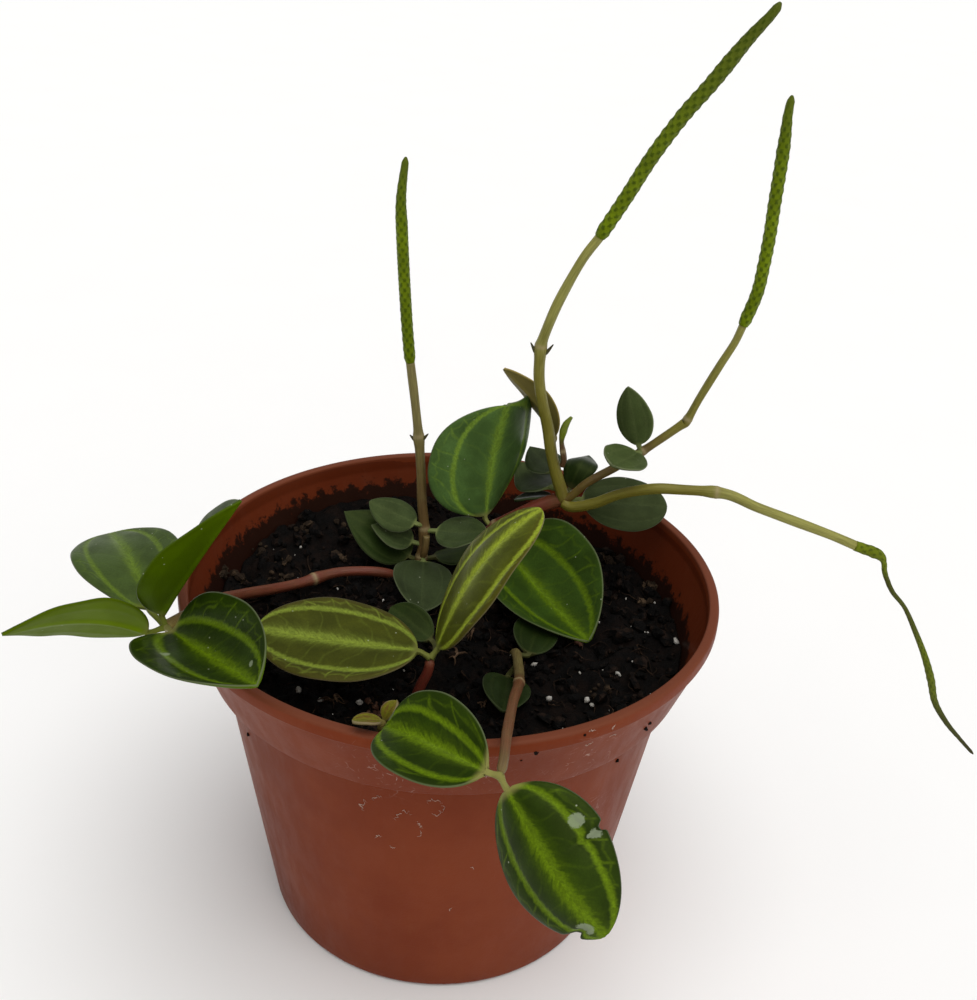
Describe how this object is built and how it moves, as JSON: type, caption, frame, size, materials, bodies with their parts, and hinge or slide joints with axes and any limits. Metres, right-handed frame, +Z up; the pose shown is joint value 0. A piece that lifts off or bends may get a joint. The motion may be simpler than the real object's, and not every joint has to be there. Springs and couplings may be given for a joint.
{
  "type": "potted beetle peperomia",
  "caption": "Trailing beetle peperomia with striped leaves and knobbly flower spikes, growing in a round tapered nursery pot filled with soil.",
  "frame": {"origin": "middle of the pot's flat underside", "axes": "+Z up out of the pot, -Y towards the front, where the hanging stem passes over the rim, +X to the right seen from the front"},
  "size_m": [0.2177, 0.1493, 0.2093],
  "materials": {
    "terracotta_plastic": "satin, scuffed, terracotta brown",
    "potting_soil": "moist black peat with fibres and white grains",
    "leaf_green": "semi-gloss dark green with lighter stripes along the veins",
    "leaf_tan": "dull tan, ageing leaf",
    "red_stem": "satin red-brown",
    "brown_stem": "satin brown",
    "olive_stem": "satin olive",
    "spike_green": "bright green, finely knobbly",
    "spike_dry": "dry olive-brown thread",
    "bud_green": "bright yellow-green young shoot",
    "sprout_yellow": "yellowish young leaves"
  },
  "bodies": {
    "root": {"pot": "terracotta_plastic", "soil": "potting_soil", "runner_stem": "red_stem", "runner_leaf_back": "leaf_green", "runner_leaf_outer": "leaf_green", "runner_leaf_folded": "leaf_green", "runner_leaf_front": "leaf_green", "front_left_stem": "red_stem", "front_left_leaf_flat": "leaf_green", "front_left_leaf_raised": "leaf_green", "deep_leaf": "leaf_green", "upright_stem": "brown_stem", "upright_leaf_long": "leaf_green", "upright_leaf_heart": "leaf_green", "upright_leaf_shade": "leaf_green", "upright_leaf_sliver": "leaf_green", "upright_leaf_left": "leaf_green", "upright_leaf_right": "leaf_green", "left_spike": "spike_green", "right_stem": "olive_stem", "centre_leaf_upright": "leaf_green", "centre_leaf_broad": "leaf_green", "fork_leaf_lower": "leaf_green", "fork_leaf_upper": "leaf_green", "fork_leaf_back": "leaf_green", "fork_leaf_large": "leaf_green", "fork_leaf_shade": "leaf_green", "branch_leaf_upright": "leaf_green", "branch_leaf_flat": "leaf_green", "tan_leaf": "leaf_tan", "young_shoot": "bud_green", "tall_spike": "spike_green", "right_spike": "spike_green", "withered_spike": "spike_dry", "hanging_stem": "brown_stem", "hanging_leaf_left": "leaf_green", "hanging_leaf_front": "leaf_green", "soil_leaf_back": "leaf_green", "soil_leaf_front": "leaf_green", "rim_sprout": "sprout_yellow"}
  },
  "joints": []
}
